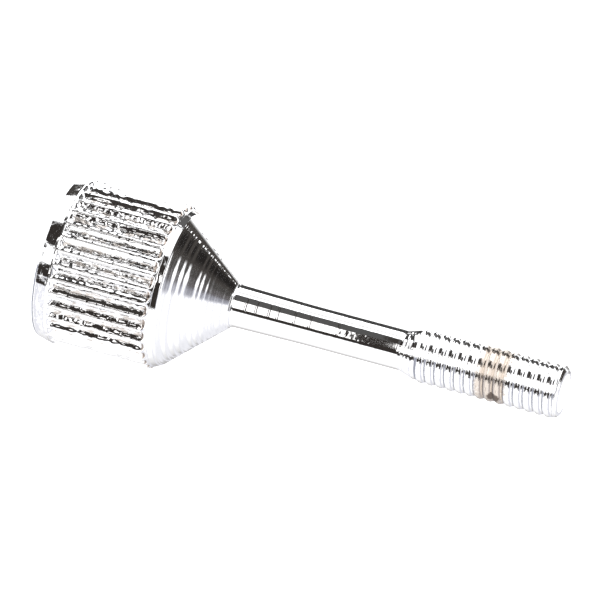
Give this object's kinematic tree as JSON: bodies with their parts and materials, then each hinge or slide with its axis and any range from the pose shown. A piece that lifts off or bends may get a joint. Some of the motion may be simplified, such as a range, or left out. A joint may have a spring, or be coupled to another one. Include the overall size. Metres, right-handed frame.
{
  "type": "thumb screw",
  "caption": "Knurled thumb screw with a conical underside, a thin undercut neck and a short threaded end.",
  "frame": {"origin": "centre of the head's flat rear face, on which the screw stands", "axes": "+Z along the screw's axis, from the head towards the threaded tip"},
  "size_m": [0.013, 0.013, 0.0413],
  "materials": {
    "plating": "bright plating over turned and knurled steel, with a rough mottled knurl and a brown stain on the thread"
  },
  "bodies": {
    "root": {"thumb_screw": "plating"}
  },
  "joints": []
}
